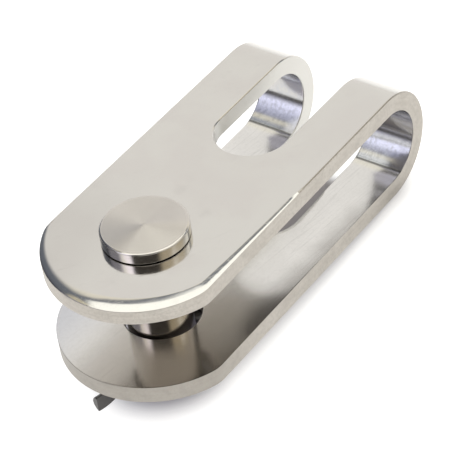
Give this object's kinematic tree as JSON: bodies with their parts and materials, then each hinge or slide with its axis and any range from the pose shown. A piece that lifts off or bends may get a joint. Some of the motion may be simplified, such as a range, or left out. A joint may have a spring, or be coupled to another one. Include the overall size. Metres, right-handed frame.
{
  "type": "toggle terminal",
  "caption": "Polished stainless strap toggle: a plate folded into a fork with slotted loops at one end and a jaw with a headed pin and split pin at the other, to join rigging ends.",
  "frame": {"origin": "on the pin's axis, half way between the two plates of the jaw", "axes": "+Z along the pin towards its head, +Y from the jaw to the loops, +X across the strap"},
  "size_m": [0.033, 0.0765, 0.0289],
  "materials": {
    "strap_steel": "buffed stainless, satin cut edges",
    "pin_steel": "turned and polished stainless",
    "cotter_steel": "drawn stainless wire"
  },
  "bodies": {
    "strap": {"bent_strap": "strap_steel"},
    "pin": {"clevis_pin": "pin_steel", "cotter_pin": "cotter_steel"}
  },
  "joints": [
    {"name": "pin_turn", "type": "hinge", "parent": "strap", "child": "pin", "pos_m": [0, 0, 0], "axis": [0, 0, 1], "continuous": true}
  ]
}
